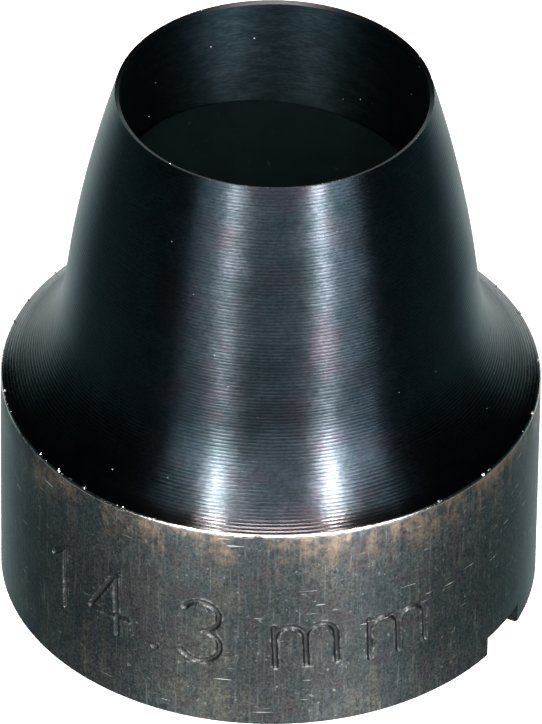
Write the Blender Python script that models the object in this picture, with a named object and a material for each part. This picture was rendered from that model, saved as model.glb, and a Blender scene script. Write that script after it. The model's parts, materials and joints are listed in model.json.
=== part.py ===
"""Hole punch head with a push-out slug ejector, as an assembly of separate pieces.

The head is turned from bar: a hollow nose with a sharp rim, a filleted shoulder and a round base.
It stands on its base, cutting edge up. Origin: centre of the base's underside. +Z: along the axis,
towards the cutting edge. +X: along the slot in the underside of the base.

Heights are stacked upwards from the underside, and radii outwards from the cutting edge, so that a
changed size carries the pieces that fit to it along with it.
"""

import math

import bmesh
import bpy
from mathutils import Matrix, Vector

MM = 0.001

# Clearances
REST_GAP = 0.05 * MM  # between two faces that rest on each other
SLIDE_GAP = 0.08 * MM  # all round the ejector in the cutting bore
RING_PLAY = 0.10 * MM  # between the snap ring and the floor of its groove

# Cutting edge and nose
CUT_RADIUS = 7.144 * MM  # 9/16 in hole
EDGE_BEVEL_WIDTH = 0.20 * MM
EDGE_BEVEL_DEPTH = 0.10 * MM
BORE_RELIEF = 0.06 * MM  # how much the bore opens from the edge down to the ledge
LEDGE_WIDTH = 1.00 * MM  # step from the cutting bore out to the spring chamber
CHAMBER_WALL = 1.05 * MM  # wall outside the spring chamber, at the ledge
TAPER_ANGLE = math.radians(9.0)  # straight part of the nose, from the axis

# Base
BASE_HEIGHT = 10.85 * MM
SHOULDER_WIDTH = 2.08 * MM  # from the foot of the taper out to the base
SHOULDER_SLOPE = math.radians(30.0)  # of the fillet where it meets the base, below level
BASE_CHAMFER = 0.12 * MM
SHOULDER_BREAK = 0.08 * MM
SLOT_WIDTH = 2.9 * MM
SLOT_DEPTH = 1.1 * MM

# Socket for the holder's spigot
SOCKET_STEP = 0.40 * MM  # socket radius over the spring chamber's
SOCKET_DEPTH = 7.00 * MM
SOCKET_CHAMFER = 0.40 * MM
CLIP_GROOVE_HEIGHT = 3.20 * MM  # lower side of the groove that the holder's clip snaps into
CLIP_GROOVE_WIDTH = 1.20 * MM
CLIP_GROOVE_DEPTH = 0.45 * MM

# Snap ring
RING_THICKNESS = 1.00 * MM
RING_GROOVE_DEPTH = 0.80 * MM
RING_LIP = 0.80 * MM  # how far the ring stands into the spring chamber
RING_OPENING = 4.0 * MM  # between the ring's ends

# Ejector
FOOT_THICKNESS = 1.40 * MM
FOOT_GAP = 0.25 * MM  # around the foot in the spring chamber
BOSS_DROP = 0.50 * MM  # of the boss under the foot, which the push rod meets
BOSS_GAP = 0.30 * MM  # around the boss in the snap ring
STEM_RADIUS = 5.00 * MM
HEAD_THICKNESS = 1.34 * MM
HEAD_CHAMFER = 0.15 * MM
PAD_THICKNESS = 1.60 * MM  # at the middle
PAD_TILT = math.radians(5.0)  # of the pad's face, which is cut a little out of square
PAD_TILT_HEADING = math.radians(28.5)  # the way the face falls, turned from +X
WELL_DEPTH = 5.36 * MM  # from the cutting edge down to the middle of the pad

# Return spring
WIRE_RADIUS = 0.40 * MM
SPRING_GAP = 0.20 * MM  # between the coils and the chamber's wall
COILS = 4.25
END_COILS = 0.75  # closed turns at each end
END_PITCH = 0.90 * MM
SPRING_MARGIN = 0.36 * MM  # left between the coils with the ejector right up

# Fineness
SEGMENTS = 72
ARC_STEPS = 7
WIRE_STEPS = 24  # points along each turn of the spring

# Radii that follow
bore_top_radius = CUT_RADIUS - EDGE_BEVEL_WIDTH
bore_radius = bore_top_radius + BORE_RELIEF
chamber_radius = bore_radius + LEDGE_WIDTH
socket_radius = chamber_radius + SOCKET_STEP
head_radius = bore_top_radius - SLIDE_GAP
foot_radius = chamber_radius - FOOT_GAP
ring_inner_radius = chamber_radius - RING_LIP
boss_radius = ring_inner_radius - BOSS_GAP
coil_radius = chamber_radius - SPRING_GAP - WIRE_RADIUS

# Heights that follow
ring_bottom = SOCKET_DEPTH + REST_GAP
ring_top = ring_bottom + RING_THICKNESS
foot_bottom = ring_top + REST_GAP
foot_top = foot_bottom + FOOT_THICKNESS
pad_rise = head_radius * math.tan(PAD_TILT)
travel = WELL_DEPTH - pad_rise
ledge_height = foot_top + 2 * WIRE_RADIUS * COILS + travel + SPRING_MARGIN
head_bottom = ledge_height
head_top = head_bottom + HEAD_THICKNESS
pad_bottom = head_top + REST_GAP
edge_height = pad_bottom + PAD_THICKNESS + WELL_DEPTH

# Outer shape that follows
taper_top_radius = chamber_radius + CHAMBER_WALL
taper_foot_radius = taper_top_radius + (ledge_height - BASE_HEIGHT) * math.tan(TAPER_ANGLE)
base_radius = taper_foot_radius + SHOULDER_WIDTH


def on_axis_plane(radius, height):
    return Vector((radius, 0.0, height))


def arc(centre, radius, start, end, steps=ARC_STEPS):
    """Points (radius, height) along an arc, both ends included."""
    return [
        (
            centre[0] + radius * math.cos(start + (end - start) * i / steps),
            centre[1] + radius * math.sin(start + (end - start) * i / steps),
        )
        for i in range(steps + 1)
    ]


def nose_arc():
    """The convex top of the nose: it leaves the taper in line with it and ends at the cutting edge."""
    fall = taper_top_radius - CUT_RADIUS
    rise = edge_height - ledge_height
    edge_angle = 2 * math.atan2(fall, rise) - TAPER_ANGLE
    radius = rise / (math.sin(edge_angle) - math.sin(TAPER_ANGLE))
    centre = (
        taper_top_radius - radius * math.cos(TAPER_ANGLE),
        ledge_height - radius * math.sin(TAPER_ANGLE),
    )
    return arc(centre, radius, TAPER_ANGLE, edge_angle)


def shoulder_fillet():
    """The concave sweep from the base's edge up to the taper, tangent to the taper."""
    turn = math.radians(90) - TAPER_ANGLE - SHOULDER_SLOPE
    radius = SHOULDER_WIDTH * math.cos(TAPER_ANGLE) / (1 - math.cos(turn))
    start = math.radians(270) - SHOULDER_SLOPE
    centre = (
        base_radius - SHOULDER_BREAK - radius * math.cos(start),
        BASE_HEIGHT - radius * math.sin(start),
    )
    return arc(centre, radius, start, start - turn)


def body_profile():
    """Closed outline of the head's wall, up the outside and down the bore."""
    ring_groove_radius = chamber_radius + RING_GROOVE_DEPTH
    clip_groove_radius = socket_radius + CLIP_GROOVE_DEPTH
    clip_groove_top = CLIP_GROOVE_HEIGHT + CLIP_GROOVE_WIDTH
    outside = [
        (base_radius - BASE_CHAMFER, 0.0),
        (base_radius, BASE_CHAMFER),
        (base_radius, BASE_HEIGHT - SHOULDER_BREAK),
        *shoulder_fillet(),
        *nose_arc(),
    ]
    inside = [
        (bore_top_radius, edge_height - EDGE_BEVEL_DEPTH),
        (bore_radius, ledge_height),
        (chamber_radius, ledge_height),
        (chamber_radius, ring_top + REST_GAP),
        (ring_groove_radius, ring_top + REST_GAP),
        (ring_groove_radius, SOCKET_DEPTH),
        (socket_radius, SOCKET_DEPTH),
        (socket_radius, clip_groove_top),
        (clip_groove_radius, clip_groove_top - CLIP_GROOVE_DEPTH / 2),
        (clip_groove_radius, CLIP_GROOVE_HEIGHT + CLIP_GROOVE_DEPTH / 2),
        (socket_radius, CLIP_GROOVE_HEIGHT),
        (socket_radius, SOCKET_CHAMFER),
        (socket_radius + SOCKET_CHAMFER, 0.0),
    ]
    return outside + inside


def add_object(name, mesh, material):
    obj = bpy.data.objects.new(name, mesh)
    bpy.context.scene.collection.objects.link(obj)
    obj.data.materials.append(material)
    return obj


def mesh_from(name, bm):
    """A finished mesh, closed and facing out, with smooth round faces and crisp edges."""
    bmesh.ops.remove_doubles(bm, verts=bm.verts, dist=1e-7)
    bmesh.ops.recalc_face_normals(bm, faces=bm.faces)
    mesh = bpy.data.meshes.new(name)
    bm.to_mesh(mesh)
    bm.free()
    mesh.shade_smooth()
    mesh.set_sharp_from_angle(angle=math.radians(30))
    return mesh


def turned(name, profile, material, closed=True):
    """A turned piece: the outline of (radius, height) points spun round the Z axis."""
    bm = bmesh.new()
    points = [bm.verts.new(on_axis_plane(*point)) for point in profile]
    pairs = list(zip(points, points[1:]))
    if closed:
        pairs.append((points[-1], points[0]))
    edges = [bm.edges.new(pair) for pair in pairs]
    bmesh.ops.spin(
        bm,
        geom=points + edges,
        cent=(0, 0, 0),
        axis=(0, 0, 1),
        angle=math.radians(360),
        steps=SEGMENTS,
        use_merge=True,
    )
    return add_object(name, mesh_from(name, bm), material)


def add_slot(body):
    """The slot milled right across the underside, which leaves a notch at each end."""
    overrun = 1 * MM
    bm = bmesh.new()
    bmesh.ops.create_cube(bm, size=1.0)
    height = SLOT_DEPTH + overrun
    bmesh.ops.scale(bm, verts=bm.verts, vec=(2 * (base_radius + overrun), SLOT_WIDTH, height))
    bmesh.ops.translate(bm, verts=bm.verts, vec=(0, 0, SLOT_DEPTH - height / 2))
    mesh = bpy.data.meshes.new("slot_cutter")
    bm.to_mesh(mesh)
    bm.free()
    cutter = bpy.data.objects.new("slot_cutter", mesh)
    bpy.context.scene.collection.objects.link(cutter)
    cutter.hide_render = True
    cutter.display_type = "WIRE"
    cut = body.modifiers.new("slot", "BOOLEAN")
    cut.operation = "DIFFERENCE"
    cut.object = cutter


def build_punch_body(material):
    body = turned("punch_body", body_profile(), material)
    add_slot(body)
    return body


def build_retaining_ring(material):
    """An open ring of rectangular section, sprung into its groove under the ejector's foot."""
    outer = chamber_radius + RING_GROOVE_DEPTH - RING_PLAY
    half_opening = RING_OPENING / (ring_inner_radius + outer)
    corners = [
        (ring_inner_radius, ring_bottom),
        (outer, ring_bottom),
        (outer, ring_top),
        (ring_inner_radius, ring_top),
    ]
    bm = bmesh.new()
    points = [bm.verts.new(on_axis_plane(*corner)) for corner in corners]
    section = bm.faces.new(points)
    bmesh.ops.rotate(bm, verts=points, matrix=Matrix.Rotation(half_opening, 3, "Z"))
    bmesh.ops.spin(
        bm,
        geom=[section],
        cent=(0, 0, 0),
        axis=(0, 0, 1),
        angle=math.radians(360) - 2 * half_opening,
        steps=SEGMENTS,
    )
    return add_object("retaining_ring", mesh_from("retaining_ring", bm), material)


def build_ejector_plunger(material):
    """A spool: the head fills the bore, and the foot rests on the ring and carries the spring."""
    boss_bottom = foot_bottom - BOSS_DROP
    profile = [
        (0.0, boss_bottom),
        (boss_radius - HEAD_CHAMFER, boss_bottom),
        (boss_radius, boss_bottom + HEAD_CHAMFER),
        (boss_radius, foot_bottom),
        (foot_radius - HEAD_CHAMFER, foot_bottom),
        (foot_radius, foot_bottom + HEAD_CHAMFER),
        (foot_radius, foot_top),
        (STEM_RADIUS, foot_top),
        (STEM_RADIUS, head_bottom),
        (head_radius, head_bottom),
        (head_radius, head_top - HEAD_CHAMFER),
        (head_radius - HEAD_CHAMFER, head_top),
        (0.0, head_top),
    ]
    return turned("ejector_plunger", profile, material, closed=False)


def build_ejector_pad(material):
    """The rubber disc on the plunger. Its face falls a little across the bore."""
    pad_top = pad_bottom + PAD_THICKNESS
    profile = [
        (0.0, pad_bottom),
        (head_radius, pad_bottom),
        (head_radius, pad_top - HEAD_CHAMFER),
        (head_radius - HEAD_CHAMFER, pad_top),
        (0.0, pad_top),
    ]
    pad = turned("ejector_pad", profile, material, closed=False)
    falls = Vector((math.cos(PAD_TILT_HEADING), math.sin(PAD_TILT_HEADING), 0.0))
    middle = pad_bottom + PAD_THICKNESS / 2
    for vertex in pad.data.vertices:
        if vertex.co.z > middle:
            vertex.co.z -= vertex.co.dot(falls) * math.tan(PAD_TILT)
    return pad


def build_ejector_spring(material):
    """A compression spring with closed ends, between the ejector's foot and the ledge in the bore."""
    low = foot_top + REST_GAP + WIRE_RADIUS
    high = ledge_height - REST_GAP - WIRE_RADIUS
    end_rise = END_COILS * END_PITCH
    open_coils = COILS - 2 * END_COILS
    open_pitch = (high - low - 2 * end_rise) / open_coils

    def height_at(turn):
        if turn < END_COILS:
            return low + turn * END_PITCH
        if turn > COILS - END_COILS:
            return high - (COILS - turn) * END_PITCH
        return low + end_rise + (turn - END_COILS) * open_pitch

    steps = round(COILS * WIRE_STEPS)
    curve = bpy.data.curves.new("ejector_spring", "CURVE")
    curve.dimensions = "3D"
    curve.bevel_depth = WIRE_RADIUS
    curve.bevel_resolution = 2
    curve.use_fill_caps = True
    spline = curve.splines.new("POLY")
    spline.points.add(steps)
    for i, point in enumerate(spline.points):
        turn = COILS * i / steps
        angle = math.radians(360) * turn
        position = Matrix.Rotation(angle, 3, "Z") @ on_axis_plane(coil_radius, height_at(turn))
        point.co = (*position, 1.0)
    return add_object("ejector_spring", curve, material)


def add_material(name, colour, roughness, metallic):
    material = bpy.data.materials.new(name)
    material.use_nodes = True
    shader = material.node_tree.nodes["Principled BSDF"]
    shader.inputs["Base Color"].default_value = (*colour, 1.0)
    shader.inputs["Roughness"].default_value = roughness
    shader.inputs["Metallic"].default_value = metallic
    return material


def clear_scene():
    for obj in list(bpy.data.objects):
        bpy.data.objects.remove(obj, do_unlink=True)


def main():
    clear_scene()
    blackened_steel = add_material("blackened_steel", (0.045, 0.052, 0.058), 0.34, 1.0)
    ejector_steel = add_material("ejector_steel", (0.16, 0.165, 0.17), 0.38, 1.0)
    spring_steel = add_material("spring_steel", (0.30, 0.30, 0.31), 0.30, 1.0)
    ring_steel = add_material("ring_steel", (0.06, 0.06, 0.065), 0.40, 1.0)
    black_rubber = add_material("black_rubber", (0.018, 0.022, 0.023), 0.75, 0.0)
    build_punch_body(blackened_steel)
    build_retaining_ring(ring_steel)
    build_ejector_plunger(ejector_steel)
    build_ejector_pad(black_rubber)
    build_ejector_spring(spring_steel)


main()
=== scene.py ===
import json
import math
import random

import bmesh
import bpy
import numpy as np
from mathutils import Matrix, Vector


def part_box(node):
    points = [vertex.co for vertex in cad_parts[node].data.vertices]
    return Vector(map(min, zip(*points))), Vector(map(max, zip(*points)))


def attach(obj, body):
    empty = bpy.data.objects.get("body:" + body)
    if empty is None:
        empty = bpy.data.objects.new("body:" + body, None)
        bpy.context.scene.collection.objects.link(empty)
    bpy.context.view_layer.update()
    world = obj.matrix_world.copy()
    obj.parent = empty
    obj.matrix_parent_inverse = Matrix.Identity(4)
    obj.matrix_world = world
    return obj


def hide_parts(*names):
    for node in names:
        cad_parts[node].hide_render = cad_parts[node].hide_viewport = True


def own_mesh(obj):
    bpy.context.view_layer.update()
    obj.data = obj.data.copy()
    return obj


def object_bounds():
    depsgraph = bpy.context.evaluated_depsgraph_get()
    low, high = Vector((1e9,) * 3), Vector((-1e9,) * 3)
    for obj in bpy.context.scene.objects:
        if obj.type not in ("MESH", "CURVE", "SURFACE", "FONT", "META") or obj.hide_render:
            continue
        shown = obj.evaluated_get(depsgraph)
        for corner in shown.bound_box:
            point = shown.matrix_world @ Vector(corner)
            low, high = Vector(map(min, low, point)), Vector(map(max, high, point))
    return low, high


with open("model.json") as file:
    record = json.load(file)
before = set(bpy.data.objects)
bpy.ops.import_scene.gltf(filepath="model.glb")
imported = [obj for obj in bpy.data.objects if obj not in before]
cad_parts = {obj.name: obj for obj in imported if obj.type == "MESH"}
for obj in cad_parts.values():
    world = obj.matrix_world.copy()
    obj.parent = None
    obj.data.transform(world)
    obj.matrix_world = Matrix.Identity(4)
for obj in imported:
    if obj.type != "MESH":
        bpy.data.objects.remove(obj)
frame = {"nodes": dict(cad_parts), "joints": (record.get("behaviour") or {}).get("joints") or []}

cadLow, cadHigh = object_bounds()
mm = 0.001
fullTurn = 2 * math.pi
quarterTurn = math.pi / 2
crease = math.radians(32)  # edges that turn more than this stay sharp
farAway = 1e3
print("frame loaded:", ", ".join(sorted(frame["nodes"])))


class Wire:
    # a node's output, so that sums on it read as sums
    def __init__(self, board, socket):
        self.board = board
        self.socket = socket

    def __add__(self, other):
        return self.board.maths("ADD", self, other)

    def __radd__(self, other):
        return self.board.maths("ADD", other, self)

    def __sub__(self, other):
        return self.board.maths("SUBTRACT", self, other)

    def __rsub__(self, other):
        return self.board.maths("SUBTRACT", other, self)

    def __mul__(self, other):
        return self.board.maths("MULTIPLY", self, other)

    def __rmul__(self, other):
        return self.board.maths("MULTIPLY", other, self)

    def __truediv__(self, other):
        return self.board.maths("DIVIDE", self, other)


class Board:
    # the nodes of one tree
    def __init__(self, tree):
        self.tree = tree

    def node(self, kind, settings=None, values=None, out=0):
        made = self.tree.nodes.new(kind)
        for name, value in (settings or {}).items():
            setattr(made, name, value)
        for name, value in (values or {}).items():
            if isinstance(value, Wire):
                self.tree.links.new(value.socket, made.inputs[name])
            else:
                made.inputs[name].default_value = value
        return Wire(self, made.outputs[out])

    def maths(self, operation, first, second=0.0):
        return self.node("ShaderNodeMath", {"operation": operation}, {0: first, 1: second})

    def step(self, value, low, high, start=0.0, end=1.0):
        # runs smoothly from start to end as value goes from low to high
        return self.node(
            "ShaderNodeMapRange",
            {"interpolation_type": "SMOOTHSTEP"},
            {"Value": value, "From Min": low, "From Max": high, "To Min": start, "To Max": end},
        )

    def band(self, value, rise, fall):
        # one between the two stretches, each given as (from, to), and nought outside them
        return self.step(value, *rise) * self.step(value, *fall, 1.0, 0.0)

    def blend(self, share, first, second):
        return self.node("ShaderNodeMix", {"data_type": "RGBA"}, {0: share, 6: first, 7: second}, out=2)

    def noise(self, place, scale, detail=3.0, rough=0.55, kind="3D"):
        key = "W" if kind == "1D" else "Vector"
        return self.node(
            "ShaderNodeTexNoise",
            {"noise_dimensions": kind},
            {key: place, "Scale": scale, "Detail": detail, "Roughness": rough},
        )

    def place(self, stretch=(1, 1, 1)):
        # object coordinates in millimetres
        spot = self.node("ShaderNodeTexCoord", out=3)
        sizes = tuple(s / mm for s in stretch)
        return self.node("ShaderNodeMapping", values={"Vector": spot, "Scale": sizes})

    def bump(self, relief):
        # relief in millimetres
        return self.node("ShaderNodeBump", values={"Strength": 1.0, "Distance": mm, "Height": relief})


def newMaterial(name, constants):
    material = bpy.data.materials.new(name)
    material.use_nodes = True
    shader = material.node_tree.nodes["Principled BSDF"]
    for socket, value in constants.items():
        shader.inputs[socket].default_value = value
    return material, Board(material.node_tree), shader


def plug(board, shader, **feeds):
    for name, wire in feeds.items():
        board.tree.links.new(wire.socket, shader.inputs[name.replace("_", " ")])


def addObject(name, data):
    made = bpy.data.objects.new(name, data)
    bpy.context.scene.collection.objects.link(made)
    return made


view = {
    "azimuth": 28.5,
    "elevation": 37.3,
    "distance": 0.545,
    "aimHeight": 11.29 * mm,
    "lens": 597.5,
    "sensorWidth": 36,
    "clip": (0.01, 20),
    "roll": 0.77,
}


def lookFrom(azimuth, elevation):
    a, e = math.radians(azimuth), math.radians(elevation)
    return Vector((math.sin(a) * math.cos(e), -math.cos(a) * math.cos(e), math.sin(e)))


def addCamera():
    back = lookFrom(view["azimuth"], view["elevation"])
    lens = bpy.data.cameras.new("camera")
    lens.lens = view["lens"]
    lens.sensor_width = view["sensorWidth"]
    lens.clip_start, lens.clip_end = view["clip"]
    camera = addObject("camera", lens)
    roll = Matrix.Rotation(math.radians(view["roll"]), 3, "Z")
    turn = (-back).to_track_quat("-Z", "Y").to_matrix() @ roll
    spot = Vector((0, 0, view["aimHeight"])) + back * view["distance"]
    camera.matrix_world = Matrix.Translation(spot) @ turn.to_4x4()
    bpy.context.scene.camera = camera


lampDistance = 0.40
lampTarget = Vector((0, 0, 13 * mm))
lamps = {
    # shape, azimuth from the camera's, elevation, width, height, power, colour
    "leftStrip": ("RECTANGLE", -25.5, 38, 0.010, 0.25, 3.1, (1.0, 0.95, 0.91)),
    "rightStrip": ("RECTANGLE", 30, 33, 0.011, 0.25, 4.2, (1.0, 0.95, 0.93)),
    "leftWing": ("ELLIPSE", -32, 13, 0.22, 0.12, 0.72, (0.70, 0.92, 1.0)),
    "rightWing": ("ELLIPSE", 38, 13, 0.24, 0.12, 1.15, (0.70, 0.90, 1.0)),
    "frontFill": ("ELLIPSE", 2, 18, 0.28, 0.12, 0.55, (0.70, 0.92, 1.0)),
    "topBox": ("ELLIPSE", 0, 88, 0.16, 0.05, 0.95, (1.0, 0.92, 0.93)),
}


def addLamps():
    for name, (shape, azimuth, elevation, width, height, power, colour) in lamps.items():
        data = bpy.data.lights.new(name, "AREA")
        data.shape = shape
        data.size = width
        data.size_y = height
        data.energy = power
        data.color = colour
        lamp = addObject(name, data)
        back = lookFrom(view["azimuth"] + azimuth, elevation)
        lamp.location = lampTarget + back * lampDistance
        lamp.rotation_mode = "QUATERNION"
        lamp.rotation_quaternion = (-back).to_track_quat("-Z", "Y")


sky = {
    "dim": 0.024,
    "low": 0.15,  # below the horizon, in front
    "lowSide": 0.25,  # below the horizon, to the sides
    "bright": 1.5,
    # where the bright side begins and where it is full, as a cosine, over and under the horizon
    "edge": (0.78, 0.92),
    "lowEdge": (0.42, 0.92),
    # heights, as sines: where the low edge gives way, where the wall fades, where the dim part starts
    "lowTop": (-0.12, 0.06),
    "wallTop": (0.36, 0.60),
    "wallLeft": 0.45,  # how bright the wall still is above that
    "dimFrom": (-0.25, 0.05),
    "lowTurn": (-0.6, 0.2),  # from in front round to the sides, as a cosine
    "dimColour": (0.45, 0.85, 0.92, 1.0),
    "brightColour": (0.86, 0.95, 0.93, 1.0),
}


def addWorld():
    # dark on the camera's side and bright behind the object, as in a booth with a white back wall
    world = bpy.data.worlds.new("studio")
    world.use_nodes = True
    board = Board(world.node_tree)
    backdrop = world.node_tree.nodes["Background"]
    way = board.node("ShaderNodeTexCoord")
    back = -lookFrom(view["azimuth"], 0)
    facing = board.node("ShaderNodeVectorMath", {"operation": "DOT_PRODUCT"}, {0: way, 1: back}, out=1)
    up = board.node("ShaderNodeSeparateXYZ", values={0: way}, out=2)
    under = board.step(up, *sky["lowTop"], 1.0, 0.0)
    wall = board.step(facing, *sky["edge"]) * board.step(up, *sky["wallTop"], 1.0, sky["wallLeft"])
    share = wall * (1.0 - under) + board.step(facing, *sky["lowEdge"]) * under
    colour = board.blend(share, sky["dimColour"], sky["brightColour"])
    low = board.step(facing, *sky["lowTurn"], sky["low"], sky["lowSide"])
    above = board.step(up, *sky["dimFrom"])
    low = low * (1.0 - above) + above * sky["dim"]
    strength = share * sky["bright"] + (1.0 - share) * low
    world.node_tree.links.new(colour.socket, backdrop.inputs["Color"])
    world.node_tree.links.new(strength.socket, backdrop.inputs["Strength"])
    bpy.context.scene.world = world


paper = {
    "half": 3.0,
    "drop": 0.02 * mm,
    "finish": {
        "Base Color": (0.55, 0.55, 0.55, 1.0),
        "Roughness": 0.9,
        "Specular IOR Level": 0.1,
        "Emission Color": (1.0, 1.0, 1.0, 1.0),
        "Emission Strength": 0.82,
    },
}


def addFloor():
    half = paper["half"]
    mesh = bpy.data.meshes.new("floor")
    corners = [(-half, -half, 0), (half, -half, 0), (half, half, 0), (-half, half, 0)]
    mesh.from_pydata(corners, [], [(0, 1, 2, 3)])
    mesh.materials.append(newMaterial("palePaper", paper["finish"])[0])
    floor = addObject("floor", mesh)
    floor.location.z = -paper["drop"]
    floor.visible_glossy = False
    floor.visible_diffuse = False


addCamera()
addLamps()
addWorld()
addFloor()
bpy.context.scene.view_settings.view_transform = "Standard"
bpy.context.scene.view_settings.look = "None"
print("studio ready")


head = {
    "cutRadius": 7.144,
    "edgeBevel": (0.20, 0.10),  # width, depth
    "boreOpening": 0.06,  # from the edge to the ledge
    "ledgeWidth": 1.00,
    "chamberWall": 1.05,
    "ledgeHeight": 18.02,
    "taper": 9.0,  # degrees
    "baseHeight": 10.85,
    "shoulderSlope": 30.0,
    "shoulderWidth": 2.08,
    "shoulderRound": 0.14,
    "baseChamfer": 0.12,
    "slot": (2.9, 1.1),  # width, depth
    "socket": (8.404, 7.0),  # radius, depth
    "socketChamfer": 0.40,
    "clipGroove": (3.2, 1.2, 0.45),  # height, width, depth
    "ringGroove": (0.80, 8.1),  # depth, top
    "columns": 320,
    # between rows: on the outside, in the fillet, on the brim, inside
    "rowGap": 0.25,
    "filletGap": 0.175,
    "brimGap": 0.025,
    "innerGap": 0.6,
}

height = cadHigh.z / mm
baseRadius = cadHigh.x / mm


def arcPoints(centre, radius, start, end, gap):
    count = max(3, round(abs(end - start) * radius / gap))
    turns = [start + (end - start) * i / count for i in range(count + 1)]
    return [(centre[0] + radius * math.cos(t), centre[1] + radius * math.sin(t)) for t in turns]


def runPoints(start, end, gap):
    # evenly spaced points from start up to, but not including, end
    count = max(1, round(math.dist(start, end) / gap))
    return [
        (start[0] + (end[0] - start[0]) * i / count, start[1] + (end[1] - start[1]) * i / count)
        for i in range(count)
    ]


def headOutline():
    # (radius, height) in millimetres, up the outside and down the bore, with the named places on the way
    gap = head["rowGap"]
    cut, taper = head["cutRadius"], math.radians(head["taper"])
    ledge = head["ledgeHeight"]
    bevelWide, bevelDeep = head["edgeBevel"]
    boreTop = cut - bevelWide
    bore = boreTop + head["boreOpening"]
    chamber = bore + head["ledgeWidth"]
    nose = chamber + head["chamberWall"]

    # the nose is an arc through the edge that meets the taper smoothly at the ledge
    fall, rise = nose - cut, height - ledge
    edge = 2 * math.atan2(fall, rise) - taper
    curve = rise / (math.sin(edge) - math.sin(taper))
    noseCentre = (nose - curve * math.cos(taper), ledge - curve * math.sin(taper))
    noseArc = arcPoints(noseCentre, curve, taper, edge, gap)

    slope = math.radians(head["shoulderSlope"])
    turn = quarterTurn - taper - slope
    sweep = head["shoulderWidth"] * math.cos(taper) / (1 - math.cos(turn))
    start = 1.5 * math.pi - slope
    brimRound = head["shoulderRound"]
    brimTurn = quarterTurn - slope
    brimCentre = (baseRadius - brimRound, head["baseHeight"] - brimRound * math.sin(brimTurn))
    brimArc = arcPoints(brimCentre, brimRound, 0.0, brimTurn, head["brimGap"])
    brim = brimArc[-1]
    sweepCentre = (brim[0] - sweep * math.cos(start), brim[1] - sweep * math.sin(start))
    fillet = arcPoints(sweepCentre, sweep, start, start - turn, head["filletGap"])

    chamfer = head["baseChamfer"]
    lower = (baseRadius, chamfer)
    upper = brimArc[0]
    socket, deep = head["socket"]
    clipLow, clipWide, clipDeep = head["clipGroove"]
    ringDeep, ringTop = head["ringGroove"]
    corners = [
        (boreTop, height - bevelDeep),
        (bore, ledge),
        (chamber, ledge),
        (chamber, ringTop),
        (chamber + ringDeep, ringTop),
        (chamber + ringDeep, deep),
        (socket, deep),
        (socket, clipLow + clipWide),
        (socket + clipDeep, clipLow + clipWide - clipDeep / 2),
        (socket + clipDeep, clipLow + clipDeep / 2),
        (socket, clipLow),
        (socket, head["socketChamfer"]),
        (socket + head["socketChamfer"], 0.0),
        (baseRadius - chamfer, 0.0),
    ]
    outside = runPoints(lower, upper, gap) + brimArc[:-1] + fillet[:-1]
    outside += runPoints(fillet[-1], noseArc[0], gap) + noseArc
    inside = []
    for first, second in zip(corners, corners[1:]):
        inside += runPoints(first, second, head["innerGap"])
    inside.append(corners[-1])
    outline = outside + inside
    lengths = [0.0]
    for first, second in zip(outline, outline[1:]):
        lengths.append(lengths[-1] + math.dist(first, second))
    marks = {
        "brimLow": lengths[outline.index(upper)],
        "brim": lengths[outline.index(fillet[0])],
        "filletEnd": lengths[outline.index(fillet[-1])],
        "rim": lengths[len(outside) - 1],
        "bevel": lengths[len(outside)],
        "base": lengths[outline.index((socket, deep))],
    }
    return outline, lengths, marks


outline, outlineLengths, marks = headOutline()
print("outline:", len(outline), "points;", {k: round(v, 2) for k, v in marks.items()})


def latheMesh(name, points, columns, closed=True):
    # points run up the outside and down the inside, so the faces point out
    rows = len(points)
    turns = [fullTurn * i / columns for i in range(columns)]
    spots = [(r * math.cos(t) * mm, r * math.sin(t) * mm, z * mm) for r, z in points for t in turns]
    faces = []
    for i in range(rows if closed else rows - 1):
        low, high = i * columns, ((i + 1) % rows) * columns
        for j in range(columns):
            k = (j + 1) % columns
            faces.append((low + j, low + k, high + k, high + j))
    mesh = bpy.data.meshes.new(name)
    mesh.from_pydata(spots, [], faces)
    return mesh


def applyAll(piece):
    # turns the evaluated object into a plain mesh and takes its modifiers off
    bpy.context.view_layer.update()
    shown = piece.evaluated_get(bpy.context.evaluated_depsgraph_get())
    mesh = bpy.data.meshes.new_from_object(shown)
    piece.modifiers.clear()
    piece.data = mesh


def cutSlot(piece):
    wide, deep = head["slot"]
    spare = 2  # how far the cutter reaches past the base on every side
    far = baseRadius + spare
    box = bmesh.new()
    bmesh.ops.create_cube(box, size=1.0)
    bmesh.ops.scale(box, verts=box.verts, vec=(2 * far * mm, wide * mm, (deep + spare) * mm))
    bmesh.ops.translate(box, verts=box.verts, vec=(0, 0, (deep - (deep + spare) / 2) * mm))
    mesh = bpy.data.meshes.new("slotCutter")
    box.to_mesh(mesh)
    box.free()
    cutter = addObject("slotCutter", mesh)
    cut = piece.modifiers.new("slot", "BOOLEAN")
    cut.object = cutter
    cut.solver = "EXACT"
    applyAll(piece)
    bpy.data.objects.remove(cutter)


# the size stamped on the base
stamp = {
    "height": 3.35,
    "foot": 3.45,  # baseline above the underside
    "halfWidth": 0.14,
    "depth": 0.11,
    "fullness": 2.6,  # higher makes the groove's floor flatter and its walls steeper
    # the lip's height, and its middle, spread and start as shares of the half width
    "lip": 0.014,
    "lipPlace": (1.15, 0.45, 0.8),
    "glyphs": (("one", -49), ("four", -36), ("point", -24.5), ("three", -14), ("em", 8), ("em", 28.5)),
    "lean": 3.0,  # degrees, to either side
    "lift": 0.12,
    "seed": 5,
    "margin": 0.8,  # nothing moves further than this above or below the figures
    "refine": (0.40, 4),  # reach from a stroke, cuts in each face there
    # how far inside the base's radius a face, or a point, still counts as its outside
    "faceSkin": 0.02,
    "pointSkin": 0.05,
}


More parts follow.
